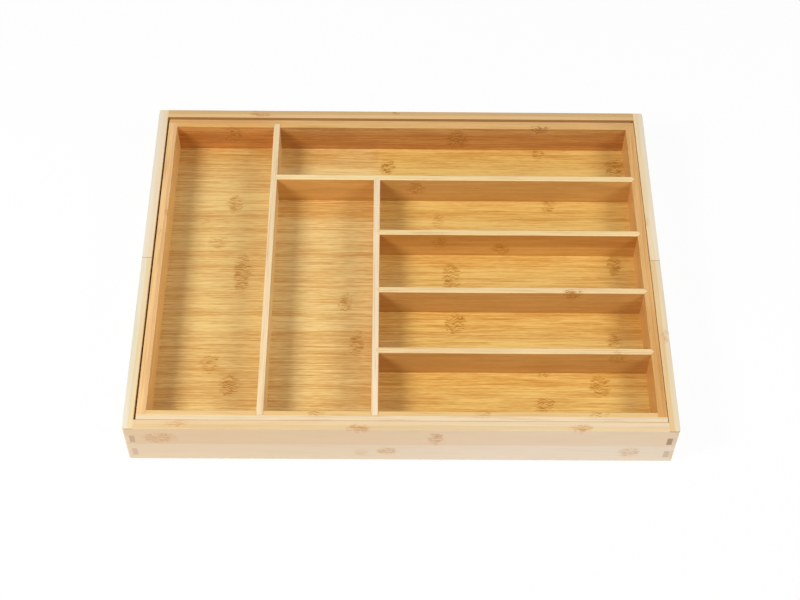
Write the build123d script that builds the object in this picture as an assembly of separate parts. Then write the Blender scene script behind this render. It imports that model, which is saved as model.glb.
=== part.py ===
from build123d import *
import os

# An expandable bamboo cutlery tray, closed, in millimetres. The origin is on the ground under
# the middle of the tray, +X runs to the right, +Y to the back and +Z up.

tray_width = 432.0
tray_depth = 330.0
tray_height = 46.0
overrun = 1.0  # how far a cut runs past the face it starts from

# The wings are the outer halves of the tray, which slide out to the front and to the back.
wing_wall = 8.3
wing_seam = 0.4  # left between the side walls of the two closed wings
wing_lip = 3.5  # foot of a wall below the floor panel
wing_floor_thickness = 5.0
wing_travel = 85.0
wing_corner_radius = 2.0
lowest_finger = 5.8  # of a long wall, at the ground
highest_finger = 1.2  # of a side wall, a thin one that is left at the top
finger_count = 4  # equal fingers between those two, a side wall's and a long wall's in turn

# The inner tray holds the compartments and stands on the floor panels of the wings.
left_gap = 1.5
right_gap = 0.4
front_gap = 0.1
back_gap = 2.9
slide_play = 0.3  # between the inner tray and the floors that it stands on
inner_end_wall = 8.5  # front and back walls
inner_side_wall = 7.6
inner_rabbet = 4.2  # how far a side wall reaches into an end wall
inner_lip = 3.5
inner_floor_thickness = 5.0
inner_corner_radius = 1.0

groove_depth = 4.0  # of the grooves that hold the floor panels
panel_play = 0.3  # between a panel's edge and the bottom of its groove
edge_radius = 0.5  # along the tops of the walls

# Dividers stand on the floor. Their ends are glued into grooves, square ones in the front and
# back walls, and V grooves with a right angle in the side wall and in other dividers.
divider_thickness = 5.5
divider_radius = 0.7
square_end_depth = 3.8
joint_play = 0.05
left_slot = 85.6
middle_slot = 83.8
row_count = 5  # the long back compartment and the four short ones

# Pins in the inner side walls run in stopped grooves of the wings' side walls.
pin_diameter = 5.0
pin_hole_depth = 5.0
pin_play = 0.3
pin_end_play = 0.5  # between a pin's end and the bottom of its guide groove
pin_height = 30.0
guide_groove_depth = 4.5
guide_land = 14.0  # solid wood between a groove and the free end of its side wall

half_width = tray_width / 2
half_depth = tray_depth / 2
wing_inside_x = half_width - wing_wall
wing_inside_y = half_depth - wing_wall
wing_floor_top = wing_lip + wing_floor_thickness
seam_half = wing_seam / 2

inner_bottom = wing_floor_top + slide_play
inner_floor_bottom = inner_bottom + inner_lip
inner_floor_top = inner_floor_bottom + inner_floor_thickness
inner_left = -wing_inside_x + left_gap
inner_right = wing_inside_x - right_gap
inner_front = -wing_inside_y + front_gap
inner_back = wing_inside_y - back_gap
room_left = inner_left + inner_side_wall
room_right = inner_right - inner_side_wall
room_front = inner_front + inner_end_wall
room_back = inner_back - inner_end_wall

half_divider = divider_thickness / 2
left_divider_x = room_left + left_slot + half_divider
middle_divider_x = left_divider_x + half_divider + middle_slot + half_divider
row_depth = (room_back - room_front - (row_count - 1) * divider_thickness) / row_count
row_pitch = row_depth + divider_thickness
back_divider_y = room_back - row_depth - half_divider
short_divider_ys = [back_divider_y - row * row_pitch for row in range(1, row_count - 1)]

pin_radius = pin_diameter / 2
pin_y = seam_half + guide_land + pin_play + pin_radius + wing_travel


def block(x0, x1, y0, y1, z0, z1):
    middle = Pos((x0 + x1) / 2, (y0 + y1) / 2, (z0 + z1) / 2)
    return middle * Box(x1 - x0, y1 - y0, z1 - z0)


def wall_ring(outside, inside, bottom, corner_radius):
    """Four walls in one ring with eased top edges, from the plan's (x0, x1, y0, y1) limits."""
    body = block(*outside, bottom, tray_height)
    body = fillet(body.edges().filter_by(Axis.Z), corner_radius)
    body = fillet(body.edges().group_by(Axis.Z)[-1], edge_radius)
    body -= block(*inside, bottom - overrun, tray_height + overrun)
    x0, x1, y0, y1 = inside
    top_edges = body.edges().group_by(Axis.Z)[-1]
    inner_edges = [
        edge
        for edge in top_edges
        if x0 - edge_radius < edge.center().X < x1 + edge_radius
        and y0 - edge_radius < edge.center().Y < y1 + edge_radius
    ]
    return fillet(inner_edges, edge_radius)


def end_seat(x, y, direction, pointed):
    """The groove for a divider's end that lies in a direction, given in degrees."""
    half = half_divider + joint_play
    depth = square_end_depth + joint_play
    tip = [(0, half), (half, 0), (0, -half)] if pointed else [(depth, half), (depth, -half)]
    outline = Polyline((-overrun, half), *tip, (-overrun, -half), close=True)
    groove = extrude(make_face(outline), tray_height - inner_floor_top + overrun)
    return Pos(x, y, inner_floor_top) * Rot(0, 0, direction) * groove


def end_outline(face, outward, pointed):
    """The plan of a divider's end, past the face that it is let into."""
    half = outward * half_divider
    if pointed:
        return [(face, -half), (face + half, 0), (face, half)]
    tip = face + outward * square_end_depth
    return [(tip, -half), (tip, half)]


def divider(face_from, face_to, pointed_from=True, pointed_to=True):
    """A divider along +X between two faces that its ends are let into."""
    outline = Polyline(
        *end_outline(face_from, -1, pointed_from),
        *end_outline(face_to, 1, pointed_to),
        close=True,
    )
    board = extrude(make_face(outline), tray_height - inner_floor_top)
    long_edges = board.edges().group_by(Axis.Z)[-1].filter_by(Axis.X)
    return Pos(0, 0, inner_floor_top) * fillet(long_edges, divider_radius)


def cross_divider(y, face_from, face_to):
    return Pos(0, y, 0) * divider(face_from, face_to)


def long_divider(x, face_from, face_to, pointed_to):
    board = divider(face_from, face_to, pointed_from=False, pointed_to=pointed_to)
    return Pos(x, 0, 0) * Rot(0, 0, 90) * board


def floor_panel(x0, x1, y0, y1, z0, thickness):
    return block(x0, x1, y0, y1, z0, z0 + thickness)


def wing_pieces(side):
    """The four boards of one wing: side is -1 for the front wing and 1 for the back wing."""
    outside = (-half_width, half_width, -half_depth, half_depth)
    inside = (-wing_inside_x, wing_inside_x, -wing_inside_y, wing_inside_y)
    ring = wall_ring(outside, inside, 0, wing_corner_radius)

    def between(near, far):
        return sorted((side * near, side * far))

    corner_y = between(wing_inside_y, half_depth + overrun)
    finger = (tray_height - highest_finger - lowest_finger) / finger_count
    finger_bottoms = [lowest_finger + row * finger for row in range(0, finger_count, 2)]
    finger_heights = [(bottom, bottom + finger) for bottom in finger_bottoms]
    finger_heights.append((tray_height - highest_finger, tray_height + overrun))
    side_fingers = [
        block(x0, x1, *corner_y, *heights)
        for heights in finger_heights
        for x0, x1 in (
            (-half_width - overrun, -wing_inside_x),
            (wing_inside_x, half_width + overrun),
        )
    ]
    long_wall = ring & block(
        -half_width - overrun, half_width + overrun, *corner_y, 0, tray_height + overrun
    )
    long_wall -= side_fingers

    reach = groove_depth - panel_play
    panel_y = between(seam_half, wing_inside_y + reach)
    panel = floor_panel(
        -wing_inside_x - reach,
        wing_inside_x + reach,
        *panel_y,
        wing_lip,
        wing_floor_thickness,
    )
    panel_groove = floor_panel(
        -wing_inside_x - groove_depth,
        wing_inside_x + groove_depth,
        *between(0, wing_inside_y + groove_depth),
        wing_lip,
        wing_floor_thickness,
    )

    pieces = {"wall": long_wall - panel_groove, "floor": panel}
    groove_y = between(
        pin_y - wing_travel - pin_radius - pin_play, pin_y + pin_radius + pin_play
    )
    half_groove = pin_radius + pin_play
    for name, hand in (("left_side", -1), ("right_side", 1)):
        x0, x1 = sorted((hand * wing_inside_x, hand * (half_width + overrun)))
        region = block(x0, x1, *between(seam_half, wing_inside_y), 0, tray_height + overrun)
        own_fingers = [f for f in side_fingers if f.center().X * hand > 0]
        board = ring & (region + own_fingers)
        x0, x1 = sorted(
            (hand * (wing_inside_x - overrun), hand * (wing_inside_x + guide_groove_depth))
        )
        guide = block(
            x0, x1, *groove_y, pin_height - half_groove, pin_height + half_groove
        )
        pieces[name] = board - panel_groove - guide
    return pieces


def inner_tray_pieces():
    """The walls, floor panel and dividers of the inner tray, and its guide pins."""
    outside = (inner_left, inner_right, inner_front, inner_back)
    inside = (room_left, room_right, room_front, room_back)
    ring = wall_ring(outside, inside, inner_bottom, inner_corner_radius)
    heights = (inner_bottom, tray_height + overrun)
    rabbet_front = room_front - inner_rabbet
    rabbet_back = room_back + inner_rabbet

    reach = groove_depth - panel_play
    panel = floor_panel(
        room_left - reach,
        room_right + reach,
        room_front - reach,
        room_back + reach,
        inner_floor_bottom,
        inner_floor_thickness,
    )
    panel_groove = floor_panel(
        room_left - groove_depth,
        room_right + groove_depth,
        room_front - groove_depth,
        room_back + groove_depth,
        inner_floor_bottom,
        inner_floor_thickness,
    )

    left_wall = ring & block(
        inner_left - overrun, room_left, rabbet_front, rabbet_back, *heights
    )
    right_wall = ring & block(
        room_right, inner_right + overrun, rabbet_front, rabbet_back, *heights
    )
    end_walls = ring - left_wall - right_wall
    front_wall, back_wall = end_walls.solids().sort_by(Axis.Y)

    back_divider_front = back_divider_y - half_divider
    left_divider = long_divider(left_divider_x, room_front, room_back, pointed_to=False)
    middle_divider = long_divider(
        middle_divider_x, room_front, back_divider_front, pointed_to=True
    )
    left_divider_face = left_divider_x + half_divider
    middle_divider_face = middle_divider_x + half_divider
    back_divider = cross_divider(back_divider_y, left_divider_face, room_right)

    front_wall -= [
        end_seat(x, room_front, -90, pointed=False)
        for x in (left_divider_x, middle_divider_x)
    ]
    back_wall -= end_seat(left_divider_x, room_back, 90, pointed=False)
    right_wall -= [
        end_seat(room_right, y, 0, pointed=True)
        for y in (back_divider_y, *short_divider_ys)
    ]
    left_divider -= end_seat(left_divider_face, back_divider_y, 180, pointed=True)
    middle_divider -= [
        end_seat(middle_divider_face, y, 180, pointed=True) for y in short_divider_ys
    ]
    back_divider -= end_seat(middle_divider_x, back_divider_front, 90, pointed=True)

    pieces = {
        "inner_front_wall": front_wall - panel_groove,
        "inner_back_wall": back_wall - panel_groove,
        "inner_left_wall": left_wall - panel_groove,
        "inner_right_wall": right_wall - panel_groove,
        "inner_floor": panel,
        "left_long_divider": left_divider,
        "middle_long_divider": middle_divider,
        "back_cross_divider": back_divider,
    }
    for number, y in enumerate(short_divider_ys, 1):
        pieces[f"short_divider_{number}"] = cross_divider(
            y, middle_divider_face, room_right
        )

    for end, y in (("front", -pin_y), ("back", pin_y)):
        for hand, face, outward in (("left", inner_left, -1), ("right", inner_right, 1)):
            root = face - outward * pin_hole_depth
            tip = outward * (wing_inside_x + guide_groove_depth - pin_end_play)
            pin = Cylinder(pin_radius, abs(tip - root), rotation=(0, 90, 0))
            pin = Pos((root + tip) / 2, y, pin_height) * pin
            pieces[f"inner_{hand}_wall"] -= pin
            pieces[f"{end}_{hand}_guide_pin"] = pin
    return pieces


pieces = inner_tray_pieces()
for wing, side in (("front_wing", -1), ("back_wing", 1)):
    for name, board in wing_pieces(side).items():
        pieces[f"{wing}_{name}"] = board

os.makedirs("parts", exist_ok=True)
for name, piece in pieces.items():
    export_step(piece, f"parts/{name}.step")
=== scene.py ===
import math
import bpy
from mathutils import Matrix, Vector


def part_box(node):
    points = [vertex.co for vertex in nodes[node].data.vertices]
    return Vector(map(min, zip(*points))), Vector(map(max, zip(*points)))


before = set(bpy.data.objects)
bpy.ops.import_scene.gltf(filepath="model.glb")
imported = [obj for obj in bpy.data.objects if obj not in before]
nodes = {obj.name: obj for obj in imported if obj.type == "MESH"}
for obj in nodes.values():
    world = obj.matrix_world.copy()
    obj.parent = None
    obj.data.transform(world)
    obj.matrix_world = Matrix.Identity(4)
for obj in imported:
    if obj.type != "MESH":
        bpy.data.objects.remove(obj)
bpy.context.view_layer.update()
print("frame loaded:", len(nodes), "pieces")

mm = 0.001
perMetre = 1000  # mm

# The camera, at the photograph's place and lens
cameraLook = {
    "place": (-13.05, -774.42, 1077.91),  # mm
    "tilt": 54.628,  # degrees below the horizon
    "yaw": 0.932,
    "roll": 1.119,
    "lens": 69.61,
    "sensor": 36,
    "nearest": 10,  # mm, from where on it sees
}


def addCamera(look):
    data = bpy.data.cameras.new("camera")
    data.sensor_width = look["sensor"]
    data.sensor_fit = "HORIZONTAL"
    data.lens = look["lens"]
    data.clip_start = look["nearest"] * mm
    tilt, yaw, roll = (math.radians(look[key]) for key in ("tilt", "yaw", "roll"))
    forward = Vector((math.sin(yaw) * math.cos(tilt), math.cos(yaw) * math.cos(tilt), -math.sin(tilt)))
    level = Vector((math.cos(yaw), -math.sin(yaw), 0))
    upright = level.cross(forward)
    right = level * math.cos(roll) + upright * math.sin(roll)
    up = upright * math.cos(roll) - level * math.sin(roll)
    turn = Matrix((right, up, -forward)).transposed().to_4x4()
    camera = bpy.data.objects.new("camera", data)
    camera.matrix_world = Matrix.Translation(Vector(look["place"]) * mm) @ turn
    bpy.context.scene.collection.objects.link(camera)
    bpy.context.scene.camera = camera


addCamera(cameraLook)
bpy.context.scene.view_settings.view_transform = "Standard"
print("camera set")


class Wire:  # one socket of a material, so that patterns are written as sums
    def __init__(self, tree, socket=None):
        self.tree = tree
        self.socket = socket

    def node(self, kind, settings, inputs, output=0):
        made = self.tree.nodes.new("ShaderNode" + kind)
        for key, value in settings.items():
            setattr(made, key, value)
        for key, value in inputs.items():
            if isinstance(value, Wire):
                self.tree.links.new(value.socket, made.inputs[key])
            else:
                made.inputs[key].default_value = value
        return Wire(self.tree, made.outputs[output])

    def math(self, operation, *values):
        return self.node("Math", {"operation": operation}, dict(enumerate(values)))

    def __add__(self, other):
        return self.math("ADD", self, other)

    def __radd__(self, other):
        return self.math("ADD", other, self)

    def __sub__(self, other):
        return self.math("SUBTRACT", self, other)

    def __rsub__(self, other):
        return self.math("SUBTRACT", other, self)

    def __mul__(self, other):
        return self.math("MULTIPLY", self, other)

    def __rmul__(self, other):
        return self.math("MULTIPLY", other, self)

    def __truediv__(self, other):
        return self.math("DIVIDE", self, other)

    def parts(self):
        split = self.node("SeparateXYZ", {}, {0: self})
        return [Wire(self.tree, output) for output in split.socket.node.outputs]

    def between(self, low, high, toLow=0.0, toHigh=1.0):  # a soft step, held at both ends
        settings = {"interpolation_type": "SMOOTHSTEP"}
        return self.node("MapRange", settings, {0: self, 1: low, 2: high, 3: toLow, 4: toHigh})

    def within(self, low, high, soft):  # 1 from one edge to the other, 0 outside
        return self.between(low, low + soft) * self.between(high, high - soft)

    def vector(self, x, y, z):
        return self.node("CombineXYZ", {}, {0: x, 1: y, 2: z})

    def noise(self, where, detail):
        inputs = {"Vector": where, "Scale": 1.0, "Detail": detail, "Roughness": 0.5}
        return self.node("TexNoise", {}, inputs)

    def mix(self, share, first, second, blend="MIX"):  # of colours, at the node's colour sockets
        settings = {"data_type": "RGBA", "blend_type": blend}
        return self.node("Mix", settings, {0: share, 6: first, 7: second}, 2)


def paint(red, green, blue):  # a colour as it looks on screen, 0 to 255
    def linear(value):  # by the sRGB curve
        value /= 255
        return value / 12.92 if value <= 0.04045 else ((value + 0.055) / 1.055) ** 2.4

    return (linear(red), linear(green), linear(blue), 1)


# The sizes of the grain's patterns along and across the fibres, in mm, and the noise's detail
grain = {
    "hair": (8, 0.4, 1),
    "fibres": (45, 0.7, 1),
    "bundles": (40, 1.6, 1),
    "bands": (150, 4.5, 2),
    "clouds": (70, 26, 2),
    "sway": (80, 12, 1),
    "ripple": (3, 14, 1),
    "scribble": (9, 0.75, 1),
    "wander": (4, 4, 2),
    "pores": (0.8, 0.8, 2),
}
patternsApart = 7  # in the noise, so that no two patterns of a piece match
swayReach = 2  # mm
knuckleLook = {
    "edge": (1.25, 0.5),  # of its reaches, where a knuckle begins and where it is full
    "wander": 9,  # mm, how far its outline strays
    "bend": 5,  # mm, how far it pushes the fibres aside
    "core": (0.1, 0.8),  # strengths of a knuckle between which its lines come out
}

# Where one look gives way to the next: of a pattern or a normal, or heights in mm
steps = {
    "upward": (0.35, 0.8),  # an upright face, a top
    "endOn": (0.6, 0.9),  # a side, end grain
    "vessels": (0.42, 0.30),  # no dark thread, a full one, in the bundles
    "thinVessels": (0.42, 0.32),  # the same, in the fibres
    "lines": (0.50, 0.56),  # no line, a full one, in a knuckle
    "pores": (0.35, 0.65),  # pale, dark, on end grain
    "endFoot": (20, 24),  # the paler foot of the end grain, the rest
    "thinTop": (44.4, 44.6),  # end grain in two layers, in one colour over the whole wall
}
plySoft = 0.12  # mm, half of the step from one layer of a wall to the other
bandSoft = 0.5  # mm, the step at the edges of a strip, and of a band of painted shade
poreShare = 0.3
varnish = {
    "index": 1.5,
    "specular": 0.35,
    "coatRoughness": 0.22,
    "glossSwing": 0.12,  # how far the fibres vary the roughness
    "bump": 0.2,
    "bumpDepth": 0.1,  # mm
    "hairHeight": 0.5,  # against the fibres' height
    "knuckleDip": 0.5,  # the same
}


class Board:  # a piece's look, and its coordinates in mm along and across its fibres
    def __init__(self, wire, look):
        self.wire = wire
        self.look = look
        place = wire.node("TexCoord", {}, {}, "Object").parts()
        x, y, self.z = (axis * perMetre for axis in place)
        self.run, self.side = (x, y) if look["along"] == "x" else (y, x)

    def pattern(self, kind, across):
        length, width, detail = grain[kind]
        shift = self.look["seed"] + patternsApart * list(grain).index(kind)
        where = self.wire.vector(self.run / length, across / width, self.z / width + shift)
        return self.wire.noise(where, detail)


def knuckleField(board):  # the rings of the cane, as soft spots
    wire = board.wire
    stray = (board.pattern("wander", board.side) - 0.5) * knuckleLook["wander"]
    field = wire.math("ADD", 0.0, 0.0)  # nothing yet
    for runAt, sideAt, upAt, runReach, sideReach, upReach, strength in board.look["knuckles"]:
        offset = wire.vector(
            (board.run - runAt + stray) / runReach,
            (board.side - sideAt + stray) / sideReach,
            (board.z - upAt) / upReach,
        )
        away = wire.node("VectorMath", {"operation": "LENGTH"}, {0: offset}, "Value")
        field = field + away.between(*knuckleLook["edge"], 0.0, strength)
    return field


def toneOf(board, hair, fibres, upward):  # from 0, where the bamboo is deep, to 1, where it is pale
    wire, look = board.wire, board.look
    bands = board.pattern("bands", board.side)
    clouds = board.pattern("clouds", board.side)
    stripIndex = wire.math("FLOOR", (board.side - look["stripFrom"]) / look["strip"])
    stripSeed = stripIndex + (look["seed"] + 0.5)  # half a step clear of rounding
    strip = wire.node("TexWhiteNoise", {"noise_dimensions": "1D"}, {"W": stripSeed})
    unevenness = (  # the noise lies about 0.5
        (hair - 0.5) * look["hair"]
        + (fibres - 0.5) * look["fibres"]
        + (bands - 0.5) * look["bands"]
        + (clouds - 0.5) * look["clouds"]
        + (strip - 0.5) * look["stripTone"]
    )
    # strips of other tones, and bands of painted shade
    for sideFrom, sideTo, runFrom, runTo, lift in look["stripsAndShade"]:
        inBand = board.side.within(sideFrom, sideTo, bandSoft)
        inPiece = board.run.within(runFrom, runTo, bandSoft)
        unevenness = unevenness + inBand * inPiece * lift
    contrast = upward.between(0.0, 1.0, look["faceContrast"], 1.0)
    return wire.math("MINIMUM", wire.math("MAXIMUM", 0.5 + unevenness * contrast, 0.0), 1.0)


def bareShade(board, tone, upward, beyondPly):  # the colour without threads, knuckles and ends
    wire, look = board.wire, board.look

    # on the back walls and the cross dividers, the upright faces' deeper colours are painted shade
    def ply(colours):
        pale, deep, facePale, faceDeep = (paint(*colour) for colour in colours)
        return wire.mix(upward, wire.mix(tone, faceDeep, facePale), wire.mix(tone, deep, pale))

    shade = ply(look["ply"])
    if "outerPly" in look:  # the wall is two layers thick
        shade = wire.mix(beyondPly, shade, ply(look["outerPly"]))
    # some tints up the faces are painted shade towards the floor
    for axis, begin, end, colour in look["tints"]:
        if axis == "run":
            share = board.run.between(begin, end)
        else:
            share = board.z.between(begin, end) * (1 - upward)
        shade = wire.mix(share, shade, paint(*colour), "MULTIPLY")
    return shade


def endGrain(board, beyondPly):  # the colour where the fibres come out
    wire, look = board.wire, board.look
    outerEnds, innerEnds, lowEnds = (paint(*colour) for colour in look["ends"])
    pores = board.pattern("pores", board.side).between(*steps["pores"], 0.0, poreShare)
    shade = wire.mix(board.z.between(*steps["endFoot"]), lowEnds, innerEnds)
    shade = wire.mix(pores, shade, paint(*look["mark"]))
    belowTop = board.z.between(*steps["thinTop"], 1.0, 0.0)
    return wire.mix(beyondPly * belowTop, shade, outerEnds)


def bamboo(name, look, plyEdge):
    material = bpy.data.materials.new(name)
    material.use_nodes = True
    tree = material.node_tree
    shader = tree.nodes["Principled BSDF"]
    wire = Wire(tree)
    board = Board(wire, look)
    facing = wire.node("TexCoord", {}, {}, "Normal").parts()
    upward = facing[2].between(*steps["upward"])
    beyondPly = wire.math("ABSOLUTE", board.side).between(plyEdge - plySoft, plyEdge + plySoft)

    # fibres, bent round the knuckles
    knuckle = knuckleField(board)
    ripple = board.pattern("ripple", board.side) - 0.5
    sway = board.pattern("sway", board.side) - 0.5
    bent = board.side + ripple * knuckle * knuckleLook["bend"] + sway * swayReach
    hair = board.pattern("hair", bent)
    fibres = board.pattern("fibres", bent)
    bundles = board.pattern("bundles", bent)

    shade = bareShade(board, toneOf(board, hair, fibres, upward), upward, beyondPly)
    vessels = bundles.between(*steps["vessels"]) + fibres.between(*steps["thinVessels"])
    shade = wire.mix(vessels * look["vessels"], shade, paint(*look["vessel"]))
    if look["knuckles"]:
        shade = wire.mix(knuckle * look["haloShare"], shade, paint(*look["halo"]))
        scribble = board.pattern("scribble", bent).between(*steps["lines"], 0.0, look["line"])
        shade = wire.mix(knuckle.between(*knuckleLook["core"]) * scribble, shade, paint(*look["mark"]))
    if "ends" in look:
        endFacing = wire.math("ABSOLUTE", facing[0] if look["along"] == "x" else facing[1])
        shade = wire.mix(endFacing.between(*steps["endOn"]), shade, endGrain(board, beyondPly))
    tree.links.new(shade.socket, shader.inputs["Base Color"])

    gloss = look["gloss"] + (fibres - 0.5) * varnish["glossSwing"]
    tree.links.new(gloss.socket, shader.inputs["Roughness"])
    shader.inputs["IOR"].default_value = varnish["index"]
    shader.inputs["Specular IOR Level"].default_value = varnish["specular"]
    shader.inputs["Coat Weight"].default_value = look["lacquer"]
    shader.inputs["Coat Roughness"].default_value = varnish["coatRoughness"]
    height = fibres + hair * varnish["hairHeight"] - knuckle * varnish["knuckleDip"]
    relief = {"Strength": varnish["bump"], "Distance": varnish["bumpDepth"] * mm, "Height": height}
    tree.links.new(wire.node("Bump", {}, relief).socket, shader.inputs["Normal"])
    return material


def finish(name, change):  # gives a piece its own bamboo
    look = {**common, **change}
    across = 1 if look["along"] == "x" else 0
    inside, outside = sorted(abs(corner[across]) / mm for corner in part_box(name))
    plyEdge = inside + (outside - inside) * look["plyShare"]  # mm from the tray's middle
    nodes[name].data.materials.clear()
    nodes[name].data.materials.append(bamboo(name.replace("_", " ") + " bamboo", look, plyEdge))


# What a board has where its own look says nothing else
common = {
    "along": "x",  # the way that the fibres run
    "strip": 20.3,  # mm, width of the strips that a board is glued from
    "stripFrom": 6.7,  # mm, where one of them begins
    "hair": 1.7,  # how strongly each pattern varies the tone
    "fibres": 2.3,
    "bands": 1.1,
    "clouds": 0.9,
    "stripTone": 0.3,
    "stripsAndShade": (),  # paler or deeper strips, and bands of painted shade: two edges, two ends, lift
    "faceContrast": 1.0,  # of the upright faces, against the tops
    "vessels": 0.25,  # strength of the darker threads
    "vessel": (190, 130, 58),
    "halo": (208, 152, 60),
    "haloShare": 0.1,
    "mark": (174, 114, 26),
    "line": 0.9,  # strength of the lines in a knuckle
    "plyShare": 0.5,  # of a wall's thickness, from the inside, that the inner layer takes
    "tints": (),  # colours to multiply by: along the run or up the faces, from none to all of it; some up the faces are painted shade towards the floor
    "knuckles": (),  # along, across and up in mm, the three reaches, strength
    "gloss": 0.38,  # the mean roughness
    "lacquer": 0.12,  # weight of the clear coat
}

# The floors
floorKnuckles = {
    "innerLevel": 17,  # mm, just below the panel's top
    "wingLevel": 8,  # the same
    "upReach": 20,  # mm, more than a panel is thick
}


def flatKnuckles(level, spots):  # a floor's: along, across, the two reaches, strength
    return [
        (along, across, floorKnuckles[level], runReach, sideReach, floorKnuckles["upReach"], strength)
        for along, across, runReach, sideReach, strength in spots
    ]


innerFloor = {
    "seed": 1,
    "stripsAndShade": [
        # the first two deepen the floor along the foot of the back wall: painted shade
        (129, 150, -210, -110, -0.5), (129, 150, -110, -20, -0.25), (112, 122.5, -110, 210, 0.4),
        (103, 111, -110, -20, -0.25), (74, 94, -210, -110, 0.35), (66, 94, -110, -21, -0.5),
        (75, 86, -21, 210, 0.2), (53, 64, -21, 210, 0.5), (53, 64, -210, -21, 0.35),
        (42, 47, -21, 210, 0.4), (40, 52, -210, -21, 0.2),
        (20, 29.5, -210, 210, -0.25), (-38, -30, -21, 210, -0.25), (-54, -39, -210, -21, 0.3),
        (-71, -62, -21, 210, 0.4), (-76, -66, -210, -21, 0.2), (-126, -106, -21, 210, 0.2),
    ],
    "tints": [("run", -30, -12, (250, 240, 209)), ("run", -106, -114, (246, 244, 238))],
    # pale and deep on top, then pale and deep on an upright face
    "ply": [(242, 212, 142), (211, 160, 84), (242, 212, 142), (211, 160, 84)],
    "knuckles": flatKnuckles("innerLevel", [
        (-144.9, 81, 8, 11, 0.7), (-156.9, 38.6, 10, 9, 0.5), (-135.1, 5.6, 8, 22, 0.9),
        (-169.4, 57.1, 6, 9, 0.35), (-156.5, -86.5, 9, 10, 0.7), (-138.8, -108, 9, 11, 1),
        (-46.9, -25, 6, 11, 0.7), (-36.2, -66, 7, 12, 0.8), (-11.5, 125, 7, 10, 1.1),
        (123.8, 141, 6, 8, 0.7), (192.1, 125, 9, 11, 1.3), (129.5, 80.9, 7, 10, 0.6),
        (32.4, 63.2, 6, 10, 0.5), (42.5, 0.6, 8, 17, 1.2), (181.8, 16, 6, 11, 1.2),
        (45, -45.7, 9, 10, 1.3), (176.2, -62, 7, 10, 0.7), (161.2, -106, 9, 11, 1.1),
        (115.6, -124.1, 8, 8, 1), (117.2, -94.5, 6, 4, 0.7),
    ]),
}
finish("inner_floor", innerFloor)

wingFloor = {**innerFloor, "stripsAndShade": (), "tints": ()}
wingFloors = {
    "front_wing_floor": {
        **wingFloor, "seed": 61,
        "knuckles": flatKnuckles("wingLevel", [(-150, -121, 9, 10, 0.8), (96, -137, 8, 9, 0.7)]),
    },
    "back_wing_floor": {
        **wingFloor, "seed": 62,
        "knuckles": flatKnuckles("wingLevel", [(-40, 131, 9, 10, 0.8), (96, 137, 8, 9, 0.7)]),
    },
}
for name, floor in wingFloors.items():
    finish(name, floor)
print("floors set")

# The inner tray's walls, dividers and pins
quiet = {"hair": 1.0, "fibres": 1.5, "bands": 1.2, "stripTone": 0.0, "vessels": 0.2}

innerBackWall = {
    **quiet, "seed": 5, "faceContrast": 2.6, "mark": (146, 92, 36),
    # the tint up the face darkens it below 35 mm high: painted shade towards the floor
    "tints": [("run", -90, -130, (250, 241, 226)), ("up", 43, 35, (243, 229, 210))],
    # in both layers the upright faces are deeper and more orange than the top: painted shade
    "ply": [(238, 194, 124), (220, 172, 104), (213, 161, 98), (186, 131, 70)],
    "outerPly": [(234, 188, 124), (216, 168, 107), (213, 161, 98), (186, 131, 70)],
    "knuckles": [
        (-149.2, 145.3, 35, 11, 4, 13, 0.6), (50.2, 145.3, 31, 11, 4, 15, 0.7),
        (121.6, 146.0, 46, 10, 3, 7, 1.2),
    ],
}
finish("inner_back_wall", innerBackWall)

innerFrontWall = {
    **quiet, "seed": 7,
    "ply": [(240, 204, 140), (228, 190, 126), (226, 180, 108), (206, 156, 86)],
    "outerPly": [(241, 221, 186), (231, 209, 171), (226, 180, 108), (206, 156, 86)],
    "line": 0.6,
    "knuckles": [
        (-66.0, -149.9, 46, 8, 3, 5, 0.8), (63.4, -150.2, 46, 8, 3, 5, 0.6),
        (154.5, -150.5, 46, 8, 3, 5, 0.7),
    ],
}
finish("inner_front_wall", innerFrontWall)

innerLeftWall = {
    **quiet, "along": "y", "seed": 9, "plyShare": 0.4, "fibres": 2.0,
    "ply": [(238, 194, 138), (222, 174, 118), (247, 205, 135), (232, 186, 116)],
    "outerPly": [(245, 205, 146), (231, 187, 128), (247, 205, 135), (232, 186, 116)],
    "line": 0.5,
    "knuckles": [(48.3, -200.2, 46, 6, 3, 6, 0.6), (28.9, -203.5, 46, 6, 2, 4, 0.5)],
}
finish("inner_left_wall", innerLeftWall)

innerRightWall = {
    **quiet, "along": "y", "seed": 11, "fibres": 2.0,
    "tints": [("run", -20, -110, (244, 236, 220))],
    "ply": [(236, 188, 124), (216, 164, 99), (228, 178, 108), (208, 156, 88)],
    "outerPly": [(233, 184, 119), (213, 160, 94), (228, 178, 108), (208, 156, 88)],
}
finish("inner_right_wall", innerRightWall)

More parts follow.
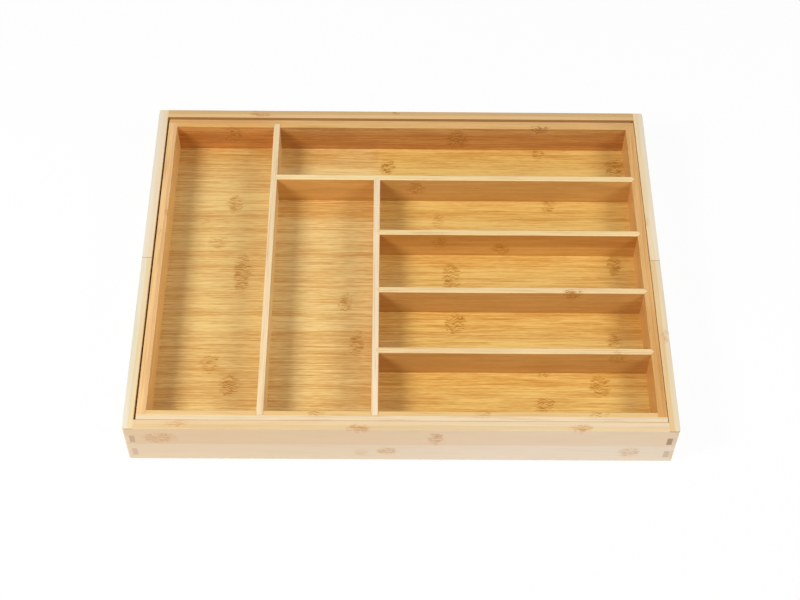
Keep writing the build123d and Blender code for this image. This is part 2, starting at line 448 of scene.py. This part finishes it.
crossDivider = {
    **quiet,
    # both tints up the faces darken and warm them towards the floor: painted shade
    "tints": [("up", 44, 24, (244, 242, 238)), ("up", 22, 18, (246, 243, 224))],
    # the upright faces are deeper and more orange than the top: painted shade
    "ply": [(250, 222, 171), (234, 204, 151), (224, 174, 102), (199, 145, 76)],
}
longDivider = {
    **quiet, "along": "y",
    "ply": [(250, 227, 184), (237, 211, 167), (250, 222, 160), (234, 198, 134)],
}
backCrossDivider = {
    **crossDivider, "seed": 17,
    # the upright faces are deeper and more orange than the top: painted shade
    "ply": [(254, 231, 176), (245, 216, 159), (225, 175, 102), (200, 147, 76)],
    "knuckles": [(13.0, 85.6, 35, 9, 4, 11, 0.8)],
}
dividers = {
    "left_long_divider": {**longDivider, "seed": 13},
    "middle_long_divider": {
        **longDivider, "seed": 15,
        # its upright faces are deeper than the other long divider's: painted shade, which also darkens
        # the floor beside them through less bounced light
        "ply": [(251, 230, 194), (239, 216, 178), (222, 172, 98), (196, 142, 70)],
    },
    "back_cross_divider": backCrossDivider,
    "short_divider_1": {
        **crossDivider, "seed": 19,
        # the first tint is a line across the face; the second darkens its foot: painted shade
        "tints": [("up", 29.2, 30.0, (242, 227, 214)), ("up", 22, 18, (246, 243, 224))],
        # the upright faces are deeper and more orange than the top: painted shade
        "ply": [(253, 227, 170), (240, 211, 152), (225, 174, 95), (201, 145, 71)],
        "knuckles": [(32.1, 25.9, 37, 8, 4, 10, 0.8), (85.4, 25.9, 27, 9, 4, 9, 0.8)],
    },
    "short_divider_2": {**crossDivider, "seed": 21, "knuckles": [(140.5, -33.9, 43, 9, 4, 8, 0.9)]},
    "short_divider_3": {**crossDivider, "seed": 23, "knuckles": [(174.0, -93.6, 40, 10, 4, 10, 0.5)]},
}
for name, divider in dividers.items():
    finish(name, divider)

pin = {**quiet, "seed": 25, "ply": [(224, 184, 126), (206, 164, 108), (224, 184, 126), (206, 164, 108)]}
for name in nodes:
    if name.endswith("guide_pin"):
        finish(name, pin)
print("inner tray set")

# The wings' walls, of paler bamboo
wingTone = {
    **quiet, "hair": 0.4, "fibres": 0.7, "bands": 0.9, "vessels": 0.1, "gloss": 0.4,
    "vessel": (206, 168, 120),
    "halo": (224, 176, 122),
    "haloShare": 0.4,
    "mark": (188, 136, 82),
    "line": 0.6,
    "ends": [(228, 206, 178), (204, 172, 140), (216, 190, 160)],  # outer layer, inner layer, its foot
}

frontWingWall = {
    **wingTone, "seed": 31, "faceContrast": 0.35,
    "tints": [("up", 22.8, 23.2, (253, 243, 230)), ("run", 150, -150, (248, 241, 228))],
    "ply": [(242, 220, 184), (234, 209, 171), (236, 205, 150), (224, 188, 132)],
    "outerPly": [(239, 215, 171), (227, 200, 156), (240, 225, 204), (232, 213, 188)],
    "knuckles": [
        (-32.8, -163.4, 46, 10, 3.5, 6, 0.9), (138.9, -162.3, 46, 10, 3.5, 6, 0.9),
        (-174.5, -160.0, 46, 10, 3, 5, 0.6), (-188.0, -165, 32, 14, 4, 9, 0.8),
        (-11.1, -165, 13.4, 9, 4, 6, 0.8), (-30.8, -165, 11.6, 7, 4, 8, 0.4),
        (27.0, -165, 32.5, 7, 4, 10, 0.9), (180.0, -165, 13.4, 9, 4, 8, 0.6),
    ],
}
finish("front_wing_wall", frontWingWall)

backWingWall = {
    **wingTone, "seed": 33, "plyShare": 0.42,
    # the inner layer's upright face, seen down the gap, is deeper than the top: painted shade
    "ply": [(240, 201, 144), (228, 186, 129), (212, 166, 106), (188, 140, 82)],
    "outerPly": [(225, 190, 135), (209, 172, 115), (236, 208, 164), (224, 190, 140)],
    "mark": (174, 116, 58),
    "knuckles": [
        (-125.2, 160.8, 46, 11, 3.5, 6, 0.8), (-4.6, 163.2, 46, 5, 2, 4, 0.8),
        (190.0, 164.5, 46, 5, 2, 4, 0.8),
    ],
}
finish("back_wing_wall", backWingWall)

wingSide = {
    **wingTone, "along": "y",
    "ply": [(240, 220, 178), (230, 206, 162), (238, 212, 162), (226, 196, 144)],
    "outerPly": [(238, 230, 209), (226, 217, 190), (240, 226, 196), (230, 212, 178)],
}
wingSides = {
    "front_wing_left_side": {**wingSide, "seed": 41},
    "front_wing_right_side": {
        **wingSide, "seed": 43,
        "ply": [(239, 209, 156), (229, 196, 143), (238, 212, 162), (226, 196, 144)],
        "outerPly": [(239, 224, 194), (230, 210, 176), (240, 226, 196), (230, 212, 178)],
        "ends": [(228, 206, 178), (170, 142, 112), (216, 196, 168)],
        "knuckles": [(-76.9, 212.5, 46, 7, 3, 6, 0.6)],
    },
    "back_wing_left_side": {
        **wingSide, "seed": 45,
        "ply": [(244, 224, 192), (236, 213, 176), (238, 212, 162), (226, 196, 144)],
        "outerPly": [(242, 231, 213), (233, 221, 197), (240, 226, 196), (230, 212, 178)],
    },
    "back_wing_right_side": {
        **wingSide, "seed": 47,
        "ply": [(250, 228, 190), (240, 214, 172), (238, 212, 162), (226, 196, 144)],
        "outerPly": [(248, 235, 211), (238, 224, 196), (240, 226, 196), (230, 212, 178)],
        "knuckles": [(42.1, 209.5, 46, 7, 3, 6, 0.5)],
    },
}
for name, side in wingSides.items():
    finish(name, side)
print("wings set")

# Two softboxes in front of the tray, a plain room and white paper, with lengths in metres
studio = {
    "left": {"from": (-0.89, -0.50, 1.0), "away": 1.6, "size": (0.42, 0.50), "energy": 16.8},
    "right": {"from": (1.00, -0.50, 1.0), "away": 1.6, "size": (0.55, 0.55), "energy": 10.1},
    "room": 0.24,
    "roomTint": (1, 0.90, 0.79),  # of the light that the room sends back
}
paper = {"size": 6, "below": 0.2 * mm, "colour": 0.95, "roughness": 0.9, "glow": 0.94}


def addSoftbox(name, box):
    data = bpy.data.lights.new(name, "AREA")
    data.shape = "RECTANGLE"
    data.size, data.size_y = box["size"]
    data.energy = box["energy"]
    lamp = bpy.data.objects.new(name, data)
    place = Vector(box["from"]).normalized() * box["away"]
    lamp.matrix_world = Matrix.Translation(place) @ place.to_track_quat("Z", "Y").to_matrix().to_4x4()
    bpy.context.scene.collection.objects.link(lamp)


def seenDirectly(wire):  # 1 for the rays that should meet plain white
    outputs = wire.node("LightPath", {}, {}).socket.node.outputs
    camera, glossy, through = (
        Wire(wire.tree, outputs[f"Is {ray} Ray"]) for ray in ("Camera", "Glossy", "Transmission")
    )
    return wire.math("MAXIMUM", camera, wire.math("MAXIMUM", glossy, through))


def addRoom(level, tint):
    world = bpy.data.worlds.new("room")
    world.use_nodes = True
    bpy.context.scene.world = world
    tree = world.node_tree
    wire = Wire(tree)
    seen = seenDirectly(wire)
    back = tree.nodes["Background"]
    tree.links.new(wire.mix(seen, (*tint, 1), (1, 1, 1, 1)).socket, back.inputs["Color"])
    tree.links.new((level + seen * (1 - level)).socket, back.inputs["Strength"])


def addGround(look):
    bpy.ops.mesh.primitive_plane_add(size=look["size"], location=(0, 0, -look["below"]))
    ground = bpy.context.object
    ground.name = "ground"
    material = bpy.data.materials.new("white paper")
    material.use_nodes = True
    tree = material.node_tree
    wire = Wire(tree)
    shader = tree.nodes["Principled BSDF"]
    shader.inputs["Base Color"].default_value = (look["colour"], look["colour"], look["colour"], 1)
    shader.inputs["Roughness"].default_value = look["roughness"]
    glow = wire.node("Emission", {}, {"Color": (1, 1, 1, 1), "Strength": 1.0})
    share = seenDirectly(wire) * look["glow"]
    mixed = wire.node("MixShader", {}, {0: share, 1: Wire(tree, shader.outputs["BSDF"]), 2: glow})
    tree.links.new(mixed.socket, tree.nodes["Material Output"].inputs["Surface"])
    ground.data.materials.append(material)


for side in ("left", "right"):
    addSoftbox(side + " softbox", studio[side])
addRoom(studio["room"], studio["roomTint"])
addGround(paper)
print("studio set")
